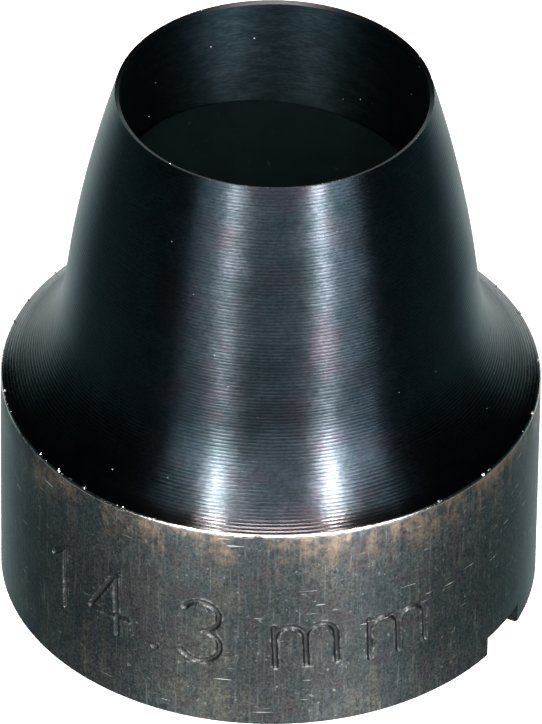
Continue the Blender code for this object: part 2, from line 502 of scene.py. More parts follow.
def bow(centre, wide, high, start, end, count=14):
    turns = [math.radians(start + (end - start) * i / count) for i in range(count + 1)]
    return [(centre[0] + wide * math.cos(t), centre[1] + high * math.sin(t)) for t in turns]


def glyphStrokes(name):
    # each glyph is about one unit tall, and its strokes are centred on x = 0
    if name == "one":
        return [[(-0.18, 0.78), (0.05, 1.0), (0.05, 0.0)]]
    if name == "four":
        return [[(0.14, 0.0), (0.14, 1.0), (-0.30, 0.30), (0.32, 0.30)]]
    if name == "point":
        return [[(-0.02, 0.03), (0.02, 0.03)]]
    if name == "three":
        upper = bow((-0.02, 0.755), 0.25, 0.245, 155, -80)
        lower = bow((-0.02, 0.26), 0.29, 0.26, 80, -150)
        return [upper, lower]
    arch = 0.21
    left = [(-2 * arch, 0.0), (-2 * arch, 0.66)]
    first = bow((-arch, 0.46), arch, 0.20, 180, 0) + [(0.0, 0.0)]
    second = bow((arch, 0.46), arch, 0.20, 180, 0) + [(2 * arch, 0.0)]
    return [left, first, second]


def stampLines():
    # strokes as (distance round the base from the camera's side, height) in millimetres
    dice = random.Random(stamp["seed"])
    lines = []
    for name, azimuth in stamp["glyphs"]:
        lean = math.radians(dice.uniform(-stamp["lean"], stamp["lean"]))
        lift = dice.uniform(-stamp["lift"], stamp["lift"])
        middle = math.radians(azimuth) * baseRadius
        for stroke in glyphStrokes(name):
            line = []
            for x, y in stroke:
                x, y = x * stamp["height"], (y - 0.5) * stamp["height"]
                across = x * math.cos(lean) - y * math.sin(lean)
                up = x * math.sin(lean) + y * math.cos(lean)
                line.append((middle + across, stamp["foot"] + stamp["height"] / 2 + up + lift))
            lines.append(line)
    return lines


def towardsLine(spots, first, second):
    # for each spot, the share of the way along the line that is nearest to it, and its distance
    start, run = np.array(first), np.array(second) - np.array(first)
    share = np.clip(((spots - start) @ run) / (run @ run), 0, 1)
    return share, np.linalg.norm(spots - start - share[:, None] * run, axis=1)


def strokeDistance(spots, lines):
    nearest = np.full(len(spots), farAway)
    for line in lines:
        for first, second in zip(line, line[1:]):
            nearest = np.minimum(nearest, towardsLine(spots, first, second)[1])
    return nearest


def unrolled(spots):
    # (distance round the base from the camera's side, height) in millimetres
    front = math.radians(view["azimuth"] - 90)
    turn = np.arctan2(spots[:, 1], spots[:, 0]) - front
    turn = (turn + math.pi) % fullTurn - math.pi
    return np.stack([turn * baseRadius, spots[:, 2] / mm], axis=1)


def readOut(items, name, kind=float, width=1):
    # one value, or width of them, from every item of a mesh
    values = np.empty(len(items) * width, dtype=kind)
    items.foreach_get(name, values)
    return values


def meshSpots(mesh):
    return readOut(mesh.vertices, "co", width=3).reshape(-1, 3)


def refineNear(mesh, lines):
    # smaller faces on the outside of the base wherever a stroke passes
    reach, cuts = stamp["refine"]
    work = bmesh.new()
    work.from_mesh(mesh)
    work.faces.ensure_lookup_table()
    centres = np.array([f.calc_center_median() for f in work.faces])
    out = np.hypot(centres[:, 0], centres[:, 1]) > (baseRadius - stamp["faceSkin"]) * mm
    near = (strokeDistance(unrolled(centres), lines) < reach) & out
    edges = {e for f, yes in zip(work.faces, near) if yes for e in f.edges}
    bmesh.ops.subdivide_edges(work, edges=list(edges), cuts=cuts, use_grid_fill=True)
    work.to_mesh(mesh)
    work.free()


def strikeStamp(mesh, lines):
    # pushes the strokes in, with a low lip of metal thrown up beside them
    spots = meshSpots(mesh)
    radius = np.hypot(spots[:, 0], spots[:, 1])
    outer = radius > (baseRadius - stamp["pointSkin"]) * mm
    flat = unrolled(spots)
    gap = strokeDistance(flat, lines)
    half = stamp["halfWidth"]
    groove = np.clip(1 - (gap / half) ** stamp["fullness"], 0, 1)
    middle, spread, start = (half * share for share in stamp["lipPlace"])
    lip = np.exp(-(((gap - middle) / spread) ** 2)) * (gap > start)
    low, high = stamp["foot"] - stamp["margin"], stamp["foot"] + stamp["height"] + stamp["margin"]
    active = outer & (flat[:, 1] > low) & (flat[:, 1] < high)
    shift = np.where(active, stamp["lip"] * lip - stamp["depth"] * groove, 0.0) * mm
    out = np.where(active, baseRadius * mm, radius)
    spots[:, :2] *= ((out + shift) / radius)[:, None]
    mesh.vertices.foreach_set("co", spots.ravel())
    # the groove's mask, which carries painted shade in the base's finish, and the lip's mask
    for name, values in (("pressedShade", groove * active), ("raised", lip * active)):
        layer = mesh.attributes.new(name, "FLOAT", "POINT")
        layer.data.foreach_set("value", values)
    mesh.update()


def pastSeam(values, starts, period):
    # on a face that lies over the seam, the low values go past the end of the high ones
    counts = np.diff(np.append(starts, len(values)))
    highest = np.maximum.reduceat(values, starts)
    wide = highest - np.minimum.reduceat(values, starts) > period / 2
    early = values < np.repeat(highest - period / 2, counts)
    return values + np.where(np.repeat(wide, counts) & early, period, 0.0)


def addLatheMap(mesh):
    # u: turns round the axis, v: millimetres along the outline from the foot of the outside
    spots = meshSpots(mesh)
    flat = np.stack([np.hypot(spots[:, 0], spots[:, 1]), spots[:, 2]], axis=1) / mm
    nearest = np.full(len(flat), farAway)
    along = np.zeros(len(flat))
    for i in range(len(outline) - 1):
        share, gap = towardsLine(flat, outline[i], outline[i + 1])
        better = gap < nearest
        nearest[better] = gap[better]
        along[better] = outlineLengths[i] + share[better] * (outlineLengths[i + 1] - outlineLengths[i])
    turn = np.arctan2(spots[:, 1], spots[:, 0]) / fullTurn
    which = readOut(mesh.loops, "vertex_index", np.int32)
    starts = readOut(mesh.polygons, "loop_start", np.int32)
    whole = outlineLengths[-1] + head["baseChamfer"]
    pairs = np.stack([pastSeam(turn[which], starts, 1.0), pastSeam(along[which], starts, whole)], axis=1)
    layer = mesh.uv_layers.new(name="lathe")
    layer.data.foreach_set("uv", pairs.ravel())


def makeHead():
    piece = addObject("punchHead", latheMesh("punchHead", outline, head["columns"]))
    cutSlot(piece)
    mesh = piece.data
    lines = stampLines()
    refineNear(mesh, lines)
    strikeStamp(mesh, lines)
    addLatheMap(mesh)
    mesh.shade_smooth()
    mesh.set_sharp_from_angle(angle=crease)
    mesh.name = "punchHead"
    return piece


def latheWire(board, axis):
    # turns round the axis, or millimetres along the outline
    lathe = board.node("ShaderNodeUVMap", {"uv_map": "lathe"})
    return board.node("ShaderNodeSeparateXYZ", values={0: lathe}, out={"around": 0, "along": 1}[axis])


def offMark(name, place):
    return [marks[name] + away for away in place]


# in all the finishes below, a noise is (scale, detail, roughness), in waves per millimetre,
# and a step is (from, to, value before, value after), its last two left out when they are 0 and 1
rings = {
    "pitch": 0.165,  # millimetres between tool marks
    "drift": (0.8, 2.0, 0.55),
    "driftTurn": 3.0,
    "ragged": (0.6, 2.0, 0.6),  # its scale is divided by the pitch
    "fibre": (1.7, 2.0, 0.6),
    "fibreStretch": (1.0, 1.0, 8.0),
    "strength": (0.35, 3.0, 0.6),
    "ringShare": (0.40, 0.7),  # at the weakest, and how much more at the strongest
    "raggedShare": 0.55,
    "fibreShare": 0.5,
    "fade": (1.0, 0.5),  # starts this far below the fillet's end, and what is left at the rim
}


def toolMarks(board, along, spots):
    # rings left by the tool, of uneven depth and strength
    pitch = rings["pitch"]
    drift = board.noise(along, *rings["drift"], kind="1D")
    wave = board.maths("SINE", along * (math.pi / pitch) + drift * rings["driftTurn"])
    ridge = board.maths("ABSOLUTE", wave)
    scale, detail, rough = rings["ragged"]
    ragged = board.noise(along, scale / pitch, detail, rough, kind="1D")
    fibre = board.noise(board.place(rings["fibreStretch"]), *rings["fibre"])
    strength = board.noise(spots, *rings["strength"])
    least, more = rings["ringShare"]
    before, left = rings["fade"]
    even = board.step(along, marks["filletEnd"] - before, marks["rim"], 1.0, left)
    relief = ridge * (least + more * strength) * even
    return relief + ragged * rings["raggedShare"] + fibre * rings["fibreShare"], strength


def dustSpecks(board, spots, scale, share, size):
    # round specks in a few of the cells of a cell pattern
    cells = {"Vector": spots, "Scale": scale}
    reach = board.node("ShaderNodeTexVoronoi", values=cells)
    draw = board.node("ShaderNodeTexVoronoi", values=cells, out=1)
    luck = board.node("ShaderNodeSeparateColor", values={0: draw})
    return board.step(reach, size * 0.7, size, 1.0, 0.0) * board.step(luck, 1 - share, 1 - share + 0.01)


turning = {
    "ringDepth": 0.0105,
    "swell": (0.9, 3.0, 0.6),
    "swellDepth": 0.005,
    "noseDark": (0.027, 0.036, 0.040, 1),
    "noseLight": (0.048, 0.054, 0.065, 1),
    "cloud": (0.7, 5.0, 0.65),
    "stain": (2.6, 3.0, 0.6),
    "lightStep": (0.45, 0.85),
    "violet": (0.043, 0.037, 0.045, 1),
    "tint": (0.42, 3.0, 0.6),
    "tintStep": (0.48, 0.64, 0.0, 0.75),
    "grain": (0.013, 0.017, 0.021, 1),
    "grainNoise": (5.0, 3.0, 0.7),
    "grainStretch": (1.0, 1.0, 2.5),
    "grainStep": (0.36, 0.60, 0.55, 0.0),
    "nicks": (3.0, 3.0, 0.7),
    "brimNicks": (0.32, 0.6, 0.3, 1.0),
    "rimNicks": (0.3, 0.6, 0.4, 1.0),
    "brim": (0.30, 0.26, 0.24, 1),
    "brimPlace": (-0.01, 0.05),  # millimetres along the outline from its mark
    "foot": (0.075, 0.066, 0.064, 1),
    "footPlace": (0.2, 1.1),
    "footShare": 0.5,
    "rim": (0.060, 0.056, 0.056, 1),
    "rimPlace": (-0.06, -0.01),
    "dust": (0.24, 0.25, 0.25, 1),
    "dustCells": (1.5, 0.13, 0.045),  # scale, share of the cells, size
    "roughness": 0.33,
    "roughnessBy": {"strength": 0.10, "stain": 0.06, "dust": 0.4, "foot": -0.14},
    "anisotropic": 0.955,
}
roundTheAxis = 0.25  # turns the gloss's long way round, as a lathe leaves it


def turnedNose():
    shaderValues = {
        "Anisotropic": turning["anisotropic"],
        "Anisotropic Rotation": roundTheAxis,
        "Base Color": turning["noseDark"],
    }
    material, board, shader = newMaterial("turnedNose", shaderValues)
    along = latheWire(board, "along")
    spots = board.place()
    ringRelief, strength = toolMarks(board, along, spots)
    swell = board.noise(spots, *turning["swell"])
    bump = board.bump(ringRelief * turning["ringDepth"] + swell * turning["swellDepth"])
    cloud = board.noise(spots, *turning["cloud"])
    stain = board.noise(spots, *turning["stain"])
    light = board.step(cloud + stain * 0.3, *turning["lightStep"])
    colour = board.blend(light, turning["noseDark"], turning["noseLight"])
    tint = board.noise(spots, *turning["tint"])
    colour = board.blend(board.step(tint, *turning["tintStep"]), colour, turning["violet"])
    grain = board.noise(board.place(turning["grainStretch"]), *turning["grainNoise"])
    colour = board.blend(board.step(grain, *turning["grainStep"]), colour, turning["grain"])
    nicks = board.noise(spots, *turning["nicks"])
    brim = board.step(along, *offMark("brim", turning["brimPlace"]), 1.0, 0.0)
    colour = board.blend(brim * board.step(nicks, *turning["brimNicks"]), colour, turning["brim"])
    foot = board.step(along, *offMark("brim", turning["footPlace"]), 1.0, 0.0)
    colour = board.blend(foot * turning["footShare"], colour, turning["foot"])
    rim = board.step(along, *offMark("rim", turning["rimPlace"]))
    colour = board.blend(rim * board.step(nicks, *turning["rimNicks"]), colour, turning["rim"])
    dust = dustSpecks(board, spots, *turning["dustCells"])
    colour = board.blend(dust, colour, turning["dust"])
    by = turning["roughnessBy"]
    rough = turning["roughness"] + by["strength"] * (strength - 0.5) + by["stain"] * (stain - 0.5)
    rough = rough + dust * by["dust"] + foot * by["foot"]
    plug(board, shader, Base_Color=colour, Roughness=rough, Metallic=1.0 - dust, Normal=bump)
    return material


bore = {
    "dark": (0.021, 0.036, 0.042, 1),
    "light": (0.033, 0.052, 0.062, 1),
    "cloud": (0.8, 5.0, 0.7),
    "cloudStretch": (1, 1, 3),
    "cloudStep": (0.35, 0.7),
    "fibre": (0.010, 0.017, 0.021, 1),
    "fibreNoise": (2.4, 4.0, 0.75),
    "fibreStretch": (1, 1, 5),
    "fibreStep": (0.36, 0.62, 0.6, 0.0),
    "bevel": (0.042, 0.039, 0.040, 1),
    "bevelPlace": (-0.01, 0.02),
    "bevelStep": (0.3, 0.6, 0.5, 1.0),
    "grain": (10.0, 3.0, 0.6),
    "grainDepth": 0.003,
    "ringDepth": 0.0015,
    "dustCells": (1.5, 0.42, 0.06),
    "roughness": 0.36,
    "roughnessBy": {"cloud": 0.05, "dust": 0.3},
    "anisotropic": 0.75,
}


def reamedBore():
    shaderValues = {
        "Anisotropic": bore["anisotropic"],
        "Anisotropic Rotation": roundTheAxis,
        "Base Color": bore["dark"],
    }
    material, board, shader = newMaterial("reamedBore", shaderValues)
    along = latheWire(board, "along")
    spots = board.place()
    ringRelief = toolMarks(board, along, spots)[0]
    grain = board.noise(spots, *bore["grain"])
    bump = board.bump(ringRelief * bore["ringDepth"] + grain * bore["grainDepth"])
    cloud = board.noise(board.place(bore["cloudStretch"]), *bore["cloud"])
    colour = board.blend(board.step(cloud, *bore["cloudStep"]), bore["dark"], bore["light"])
    fibre = board.noise(board.place(bore["fibreStretch"]), *bore["fibreNoise"])
    colour = board.blend(board.step(fibre, *bore["fibreStep"]), colour, bore["fibre"])
    bevel = board.step(along, *offMark("bevel", bore["bevelPlace"]), 1.0, 0.0)
    colour = board.blend(bevel * board.step(cloud, *bore["bevelStep"]), colour, bore["bevel"])
    dust = dustSpecks(board, spots, *bore["dustCells"])
    colour = board.blend(dust, colour, turning["dust"])
    by = bore["roughnessBy"]
    rough = bore["roughness"] + by["cloud"] * (cloud - 0.5) + dust * by["dust"]
    plug(board, shader, Base_Color=colour, Roughness=rough, Metallic=1.0 - dust, Normal=bump)
    return material


oxide = {
    "cool": (0.041, 0.049, 0.052, 1),
    "warm": (0.096, 0.090, 0.066, 1),
    "brown": (0.048, 0.041, 0.042, 1),
    "dark": (0.010, 0.012, 0.013, 1),
    "worn": (0.26, 0.170, 0.115, 1),
    "fleck": (0.19, 0.20, 0.19, 1),
    "brim": (0.60, 0.51, 0.47, 1),
    "brimDark": (0.13, 0.095, 0.080, 1),
    "scratch": (0.42, 0.43, 0.42, 1),
    # painted shade for the stamped grooves and their walls
    "pressedShade": (0.012, 0.012, 0.013, 1),
    "raised": (0.17, 0.165, 0.155, 1),
    "patch": (0.45, 5.0, 0.65),
    "mottle": (2.4, 4.0, 0.7),
    "grain": (8.0, 3.0, 0.75),
    "drawnStretch": (1, 1, 0.07),
    "drawn": (7.0, 3.0, 0.7),
    "streak": (1.4, 3.0, 0.6),
    "blot": (0.8, 4.0, 0.65),
    "flecks": (4.6, 2.0, 0.5),
    "warmStep": (0.46, 0.74),
    "warmMottle": (0.3, 0.7, 0.5, 1.0),
    "brownStep": (0.50, 0.60, 0.0, 0.8),
    "shadeStep": (0.38, 0.60, 0.74, 0.0),
    "blotStep": (0.34, 0.52, 0.35, 0.0),
    "rubbedStep": (0.48, 0.68),
    "fleckStep": (0.66, 0.76, 0.0, 0.5),
    "drawnStep": (0.58, 0.74, 0.0, 0.25),
    "beatenStep": (0.36, 0.50),
    "raisedStep": (0.50, 0.66),
    "belt": (2.0, 7.6, 0.30),  # from, to, and how much darker
    "rubbed": (2.4, 0.6),  # how far below the brim it starts, and how strong
    # scratches: seed and turn of each set, their stretch, the share that shows, and where
    "scratches": ((0.0, 0.2), (31.0, -0.5), (57.0, 1.2)),
    "scratchStretch": (0.55, 9.0, 1.0),
    "scratchNoise": (1.0, 1.0, 0.4),
    "scratchStep": (0.75, 0.78),
    "scratchedPlaces": (0.33, 2.0, 0.55),
    "placesStep": (0.46, 0.58),
    # the shares for the groove and its walls are painted shade
    "shares": {"scratch": 0.8, "pressedShade": 0.35, "wall": 0.75, "raised": 0.8},
    # relief in millimetres
    "relief": {"grain": 0.014, "drawn": 0.008, "mottle": 0.012, "scratch": 0.004},
    "roughness": 0.53,
    "roughnessBy": {"mottle": 0.16, "grain": 0.2, "rubbed": 0.08, "line": 0.31},
    "dullGrain": 0.46,  # how much of the metal the oxide's grain hides
    "anisotropic": 0.80,
    "coat": (0.20, 0.28),  # weight, roughness
    "roll": (1.0, 20.0),  # how far below the brim it starts, and the slope it ends with
}


def oxideScratches(board, along, spots):
    # fine straight scratches, laid out flat round the base in a few directions
    around = latheWire(board, "around")
    way = board.node("ShaderNodeCombineXYZ", values={"X": around * (fullTurn * baseRadius), "Y": along})
    found = 0.0
    for seed, turn in oxide["scratches"]:
        laid = board.node("ShaderNodeMapping", values={
            "Vector": way,
            "Location": (seed, seed, 0),
            "Rotation": (0, 0, turn),
            "Scale": oxide["scratchStretch"],
        })
        found = board.step(board.noise(laid, *oxide["scratchNoise"]), *oxide["scratchStep"]) + found
    where = board.noise(spots, *oxide["scratchedPlaces"])
    return found * board.step(where, *oxide["placesStep"])


def oxidisedBase():
    # blackened bar as it came, dulled and a little rubbed
    coat, coatRoughness = oxide["coat"]
    shaderValues = {
        "Anisotropic": oxide["anisotropic"],
        "Anisotropic Rotation": roundTheAxis,
        "Base Color": oxide["cool"],
        "Coat Weight": coat,
        "Coat Roughness": coatRoughness,
    }
    material, board, shader = newMaterial("oxidisedBase", shaderValues)
    along = latheWire(board, "along")
    spots = board.place()
    tall = board.place(oxide["drawnStretch"])
    patch = board.noise(spots, *oxide["patch"])
    mottle = board.noise(spots, *oxide["mottle"])
    grain = board.noise(spots, *oxide["grain"])
    drawn = board.noise(tall, *oxide["drawn"])
    streak = board.noise(tall, *oxide["streak"])
    blot = board.noise(spots, *oxide["blot"])
    brimLow, brim = marks["brimLow"], marks["brim"]
    shares, depth, by = oxide["shares"], oxide["relief"], oxide["roughnessBy"]

    warmth = board.step(patch * 0.6 + streak * 0.5, *oxide["warmStep"])
    warmth = warmth * board.step(mottle, *oxide["warmMottle"])
    colour = board.blend(warmth, oxide["cool"], oxide["warm"])
    colour = board.blend(board.step(blot, *oxide["brownStep"]), colour, oxide["brown"])
    low, high, darker = oxide["belt"]
    belt = board.band(along, (low - 1.0, low + 1.0), (high - 1.0, high + 1.0))
    colour = board.blend(belt * darker, colour, oxide["dark"])
    shade = board.step(grain * 0.6 + drawn * 0.25 + mottle * 0.15, *oxide["shadeStep"])
    colour = board.blend(shade, colour, oxide["dark"])
    colour = board.blend(board.step(blot, *oxide["blotStep"]), colour, oxide["dark"])

    reach, strongest = oxide["rubbed"]
    edge = board.band(along, (brimLow - reach, brimLow), (brimLow + 2.0, brimLow + 2.1))
    rubbed = edge * board.step(mottle * 0.3 + streak * 0.26 + patch * 0.54, *oxide["rubbedStep"])
    colour = board.blend(rubbed * strongest, colour, oxide["worn"])
    fleck = board.step(board.noise(spots, *oxide["flecks"]), *oxide["fleckStep"])
    fleck = fleck + board.step(drawn, *oxide["drawnStep"])
    colour = board.blend(fleck, colour, oxide["fleck"])
    past = (brim + 0.3, brim + 0.5)
    line = board.band(along, (brimLow - 0.03, brimLow + 0.02), past)
    beaten = board.step(mottle * 0.5 + patch * 0.5, *oxide["beatenStep"])
    colour = board.blend(line, colour, board.blend(beaten, oxide["brimDark"], oxide["brim"]))
    scratch = oxideScratches(board, along, spots)
    colour = board.blend(scratch * shares["scratch"], colour, oxide["scratch"])

    pressedShade = board.node("ShaderNodeAttribute", {"attribute_name": "pressedShade"}, out=2)
    raised = board.node("ShaderNodeAttribute", {"attribute_name": "raised"}, out=2)
    # painted shade in the stamped grooves: darkest on the walls halfway down, and a little over the whole
    # groove
    wall = pressedShade * (1.0 - pressedShade) * 4.0
    colour = board.blend(pressedShade * shares["pressedShade"], colour, oxide["pressedShade"])
    colour = board.blend(wall * shares["wall"], colour, oxide["pressedShade"])
    shiny = raised * board.step(mottle, *oxide["raisedStep"]) * shares["raised"]
    colour = board.blend(shiny, colour, oxide["raised"])

    # the top of the side is rolled over a little towards the brim
    start, slope = oxide["roll"]
    near = board.node("ShaderNodeClamp", values={"Value": (along - (brimLow - start)) / start})
    near = near * board.step(along, *past, 1.0, 0.0)
    rolled = near * near * (0.5 * start * math.tan(math.radians(slope)))
    relief = grain * depth["grain"] + drawn * depth["drawn"] + mottle * depth["mottle"]
    bump = board.bump(relief - scratch * depth["scratch"] - rolled)
    rough = oxide["roughness"] + by["mottle"] * (mottle - 0.5) + by["grain"] * (grain - 0.5)
    rough = rough - rubbed * by["rubbed"] - line * by["line"]
    metal = 1.0 - oxide["dullGrain"] * grain * (1.0 - line)
    plug(board, shader, Base_Color=colour, Roughness=rough, Metallic=metal, Normal=bump)
    return material


def splitFinishes(piece, finishes):
    # slots by place on the outline: nose from the brim to the rim, bore from the rim in, base for the rest
    mesh = piece.data
    mesh.materials.clear()
    for material in finishes:
        mesh.materials.append(material)
    along = readOut(mesh.uv_layers["lathe"].data, "uv", width=2)[1::2]
    starts = readOut(mesh.polygons, "loop_start", np.int32)
    counts = readOut(mesh.polygons, "loop_total", np.int32)
    middle = np.add.reduceat(along, starts) / counts
    index = np.where(middle < marks["brim"], 0, np.where(middle < marks["rim"], 1, 2))
    index[middle > marks["base"]] = 0
    mesh.polygons.foreach_set("material_index", index.astype(np.int32))
    mesh.update()


punchHead = makeHead()
splitFinishes(punchHead, [oxidisedBase(), turnedNose(), reamedBore()])
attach(punchHead, "punch")
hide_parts("punch_body")
print("head made:", len(punchHead.data.polygons), "faces")


# burrs left on the brim and on the rim
burrs = {
    # radius, height, how many, smallest and largest size, seed
    "brimBurrs": (baseRadius - 0.07, head["baseHeight"] - 0.01, 130, 0.022, 0.125, 3),
    "rimBurrs": (head["cutRadius"] - 0.03, height - 0.012, 70, 0.012, 0.042, 8),
}
burrSpread = {
    "Clump Gap": 0.42,  # radians from one clump to the next
    "Clump Width": 0.35,
    "Crowding": 1.6,  # higher draws a clump together at one end
    "Wander": 0.02 * mm,  # in and out
}
burrShape = {
    "stretch": ((0.35, 0.35, 0.6), (0.8, 0.8, 1.5)),
    "lean": ((-0.7, -0.7, 0.0), (0.7, 0.7, 6.2)),
}


def newTree(name, numbers, counts, others=()):
    # a geometry tree with its inputs by name, and one geometry output
    tree = bpy.data.node_groups.new(name, "GeometryNodeTree")
    board = Board(tree)
    kinds = [(n, "NodeSocketFloat") for n in numbers] + [(n, "NodeSocketInt") for n in counts]
    for label, kind in kinds + [(n, "NodeSocket" + n) for n in others]:
        tree.interface.new_socket(label, in_out="INPUT", socket_type=kind)
    tree.interface.new_socket("Geometry", in_out="OUTPUT", socket_type="NodeSocketGeometry")
    entry = tree.nodes.new("NodeGroupInput")
    return board, {o.name: Wire(board, o) for o in entry.outputs if o.name}


def endTree(board, shape, material):
    whole = board.node("GeometryNodeRealizeInstances", values={"Geometry": shape})
    painted = board.node("GeometryNodeSetMaterial", values={"Geometry": whole, "Material": material})
    leave = board.tree.nodes.new("NodeGroupOutput")
    board.tree.links.new(painted.socket, leave.inputs["Geometry"])
    return board.tree


def onCircle(board, line, turn, radius, high):
    # moves the points of a line to their turns round the axis
    east = board.maths("COSINE", turn) * radius
    north = board.maths("SINE", turn) * radius
    spot = board.node("ShaderNodeCombineXYZ", values={"X": east, "Y": north, "Z": high})
    return board.node("GeometryNodeSetPosition", values={"Geometry": line, "Position": spot})


def burrTree():
    # slivers scattered round a circle in clumps, each turned and stretched its own way
    sizes = ("Radius", "Height", "Smallest", "Largest", *burrSpread)
    board, given = newTree("burrScatter", sizes, ("Count", "Seed"), ("Material",))
    # a random value's sockets have the same names for every type, so they are picked by their place
    places = {"FLOAT": (2, 3, 1), "FLOAT_VECTOR": (0, 1, 0)}

    def dice(low, high, shift, kind="FLOAT"):
        # shift keeps one draw apart from the next
        least, most, out = places[kind]
        values = {least: low, most: high, 8: given["Seed"] + shift}
        return board.node("FunctionNodeRandomValue", {"data_type": kind}, values, out=out)

    line = board.node("GeometryNodeMeshLine", values={"Count": given["Count"]})
    clump = board.maths("POWER", dice(0.0, 1.0, 2.0), given["Crowding"])
    turn = board.maths("SNAP", dice(0.0, fullTurn, 1.0), given["Clump Gap"]) + clump * given["Clump Width"]
    away = dice(-1.0, 1.0, 5.0) * given["Wander"] + given["Radius"]
    points = onCircle(board, line, turn, away, given["Height"])
    flake = board.node("GeometryNodeMeshIcoSphere", values={"Radius": 1.0, "Subdivisions": 1})
    luck = dice(0.0, 1.0, 3.0)
    size = given["Smallest"] + (given["Largest"] - given["Smallest"]) * (luck * luck * luck)
    stretch = dice(*burrShape["stretch"], 4.0, "FLOAT_VECTOR")
    shape = board.node("ShaderNodeVectorMath", {"operation": "SCALE"}, {0: stretch, "Scale": size})
    lean = dice(*burrShape["lean"], 6.0, "FLOAT_VECTOR")
    rotation = board.node("FunctionNodeEulerToRotation", values={0: lean})
    scattered = board.node(
        "GeometryNodeInstanceOnPoints",
        values={"Points": points, "Instance": flake, "Rotation": rotation, "Scale": shape},
    )
    return endTree(board, scattered, given["Material"])


def runTree(piece, tree, sizes):
    made = piece.modifiers.new("nodes", "NODES")
    made.node_group = tree
    for item in tree.interface.items_tree:
        if item.name in sizes:
            made[item.identifier] = sizes[item.name]
    applyAll(piece)


slivers = {
    "dark": (0.16, 0.13, 0.11, 1),
    "light": (0.62, 0.60, 0.58, 1),
    "tone": (3.0, 2.0, 0.55),
    "toneStep": (0.35, 0.6),
    "roughness": (0.25, 0.2),  # least, and how much the tone adds
}


def brightSliver():
    shaderValues = {"Metallic": 1.0, "Base Color": slivers["light"]}
    material, board, shader = newMaterial("brightSliver", shaderValues)
    tone = board.noise(board.place(), *slivers["tone"])
    colour = board.blend(board.step(tone, *slivers["toneStep"]), slivers["dark"], slivers["light"])
    least, more = slivers["roughness"]
    plug(board, shader, Base_Color=colour, Roughness=least + more * tone)
    return material


sliver = brightSliver()
scatter = burrTree()
for name, (radius, high, count, small, large, seed) in burrs.items():
    flakes = addObject(name, bpy.data.meshes.new(name))
    sizes = {"Radius": radius * mm, "Height": high * mm, "Smallest": small * mm, "Largest": large * mm}
    runTree(flakes, scatter, {**sizes, **burrSpread, "Count": count, "Seed": seed, "Material": sliver})
    flakes.data.name = name
    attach(flakes, "punch")
    print(name, "made:", len(flakes.data.polygons), "faces")


def finishPiece(piece, material, body, node):
    piece.data.materials.clear()
    piece.data.materials.append(material)
    piece.data.shade_smooth()
    piece.data.set_sharp_from_angle(angle=crease)
    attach(piece, body)
    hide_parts(node)
    print(piece.name, "made:", len(piece.data.polygons), "faces")


def recalculated(mesh):
    work = bmesh.new()
    work.from_mesh(mesh)
    bmesh.ops.remove_doubles(work, verts=work.verts, dist=1e-8)
    bmesh.ops.recalc_face_normals(work, faces=work.faces)
    work.to_mesh(mesh)
    work.free()
    return mesh


def cappedLathe(name, points, columns):
    # an outline that starts and ends on the axis
    return recalculated(latheMesh(name, points, columns, closed=False))


plunger = {
    "bossRadius": 6.904,
    "footRadius": 7.754,
    "stemRadius": 5.0,
    "headRadius": 6.864,
    "bossDrop": 0.5,
    "footThickness": 1.4,
    "headThickness": 1.34,
    "chamfer": 0.15,
    "fillet": (0.5, 0.2),  # radius, and the gap between its points
    "centreHole": (0.9, 0.7),  # radius, depth
    "columns": 144,
}


def makePlunger():
    low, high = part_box("ejector_plunger")
    bottom, top = low.z / mm, high.z / mm
    footLow = bottom + plunger["bossDrop"]
    footTop = footLow + plunger["footThickness"]
    under = top - plunger["headThickness"]
    cut = plunger["chamfer"]
    holeWide, holeDeep = plunger["centreHole"]
    fillet, gap = plunger["fillet"]
    stem = plunger["stemRadius"]
    boss, foot, crown = plunger["bossRadius"], plunger["footRadius"], plunger["headRadius"]
    points = [
        (0.0, bottom + holeDeep),
        (holeWide, bottom),
        (boss - cut, bottom),
        (boss, bottom + cut),
        (boss, footLow),
        (foot - cut, footLow),
        (foot, footLow + cut),
        (foot, footTop - cut),
        (foot - cut, footTop),
    ]
    points += arcPoints((stem + fillet, footTop + fillet), fillet, 1.5 * math.pi, math.pi, gap)
    points += arcPoints((stem + fillet, under - fillet), fillet, math.pi, quarterTurn, gap)
    points += [(crown, under), (crown, top - cut), (crown - cut, top), (0.0, top)]
    return addObject("ejectorSpool", cappedLathe("ejectorSpool", points, plunger["columns"]))


pad = {
    "radius": 6.864,
    "thickness": 1.6,
    "tilt": 5.0,
    "heading": 28.5,
    "edgeRound": (0.18, 0.05),  # radius, and the gap between its points
    "rowGap": 0.25,
    "columns": 192,
    # the rubber, its colours far darker than rubber is, as painted shade deep in the bore
    "colour": (0.001, 0.002, 0.0022, 1),
    "dark": (0.0004, 0.0016, 0.0018, 1),
    "light": (0.0008, 0.0024, 0.0026, 1),
    "dust": (0.010, 0.012, 0.012, 1),
    "cloud": (0.5, 4.0, 0.6),
    "grain": (9.0, 4.0, 0.7),
    "grainDepth": 0.02,
    "specks": (3.4, 2.0, 0.4),
    "speckStep": (0.70, 0.74),
    "gloss": 0.03,
    "roughness": (0.80, 0.14),  # least, and how much the grain adds
}


